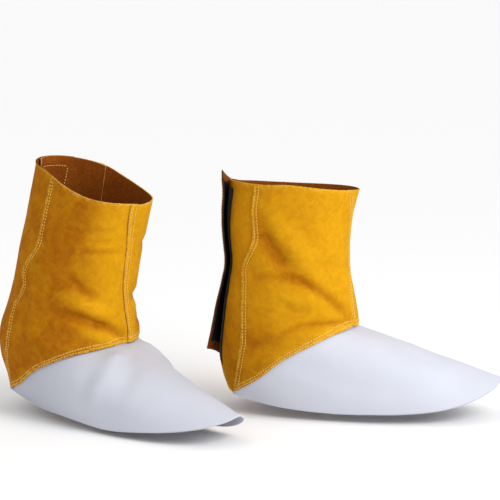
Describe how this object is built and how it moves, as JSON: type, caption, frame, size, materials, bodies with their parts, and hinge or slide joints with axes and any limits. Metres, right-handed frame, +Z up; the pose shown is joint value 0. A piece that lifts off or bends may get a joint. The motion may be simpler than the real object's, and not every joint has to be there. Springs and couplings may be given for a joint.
{
  "type": "pair of welding leg guards",
  "caption": "Pair of split-leather leg guards with flared insteps, worn in a stride, each closed up the back by hook and loop tape.",
  "frame": {"origin": "midway between the two collars at shin height, where the wearer's legs hold the pair, 300 mm above the sole plane", "axes": "+Z up; +X the way the wearer strides; +Y the wearer's left"},
  "size_m": [0.6924, 0.2842, 0.3455],
  "materials": {
    "golden_split_leather": "matt split suede, raw cut edges",
    "white_leather": "soft, faintly satin, cool off-white",
    "hook_tape": "black hook tape",
    "loop_tape": "black loop tape"
  },
  "bodies": {
    "root": {"left_inner_quarter": "golden_split_leather", "left_outer_quarter": "golden_split_leather", "left_inner_back": "golden_split_leather", "left_outer_back_and_flap": "golden_split_leather", "left_flare": "white_leather", "left_hook_tape": "hook_tape", "left_loop_tape": "loop_tape", "right_inner_quarter": "golden_split_leather", "right_outer_quarter": "golden_split_leather", "right_inner_back": "golden_split_leather", "right_outer_back_and_flap": "golden_split_leather", "right_flare": "white_leather", "right_hook_tape": "hook_tape", "right_loop_tape": "loop_tape"}
  },
  "joints": []
}
